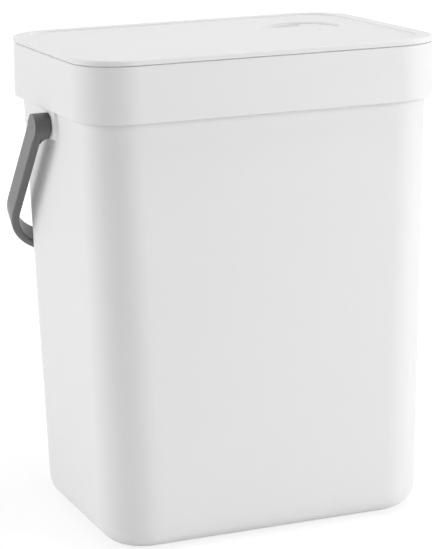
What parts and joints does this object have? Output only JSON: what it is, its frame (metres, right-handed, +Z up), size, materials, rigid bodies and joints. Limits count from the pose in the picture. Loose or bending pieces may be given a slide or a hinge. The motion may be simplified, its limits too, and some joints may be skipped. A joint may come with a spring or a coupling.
{
  "type": "kitchen compost bin",
  "caption": "Tapered rectangular kitchen compost bin with a lift-off rim collar, hinged vented lid with charcoal filter, and a swinging bail handle.",
  "frame": {"origin": "middle of the tub's underside, on the plane that the bin stands on", "axes": "+Z up, -Y out of the front wall, +X to the right seen from the front; the handle's pivot axis is parallel to X"},
  "size_m": [0.221, 0.1622, 0.27],
  "materials": {
    "white_plastic": "fine matt moulded white",
    "grey_plastic": "satin moulded dark grey",
    "seal_rubber": "soft pale grey",
    "pin_steel": "drawn wire",
    "charcoal_felt": "black needled felt"
  },
  "bodies": {
    "tub": {"tub": "white_plastic"},
    "collar": {"rim_collar": "white_plastic", "hinge_pin_left": "pin_steel", "hinge_pin_right": "pin_steel"},
    "lid": {"lid": "white_plastic", "lid_seal": "seal_rubber"},
    "filter_cap": {"filter_cap": "white_plastic", "carbon_filter": "charcoal_felt"},
    "handle": {"handle": "grey_plastic"}
  },
  "joints": [
    {"name": "collar_lift", "type": "slide", "parent": "tub", "child": "collar", "axis": [0, 0, 1], "range_m": [0, 0.04]},
    {"name": "lid_hinge", "type": "hinge", "parent": "collar", "child": "lid", "pos_m": [0, 0.08101, 0.2652], "axis": [-1, 0, 0], "range_deg": [0, 105]},
    {"name": "filter_twist", "type": "hinge", "parent": "lid", "child": "filter_cap", "pos_m": [0.05801, 0.02, 0.2616], "axis": [0, 0, 1], "range_deg": [0, 28]},
    {"name": "handle_swing", "type": "hinge", "parent": "tub", "child": "handle", "pos_m": [0, 0, 0.2278], "axis": [1, 0, 0], "range_deg": [0, 273.6]}
  ]
}
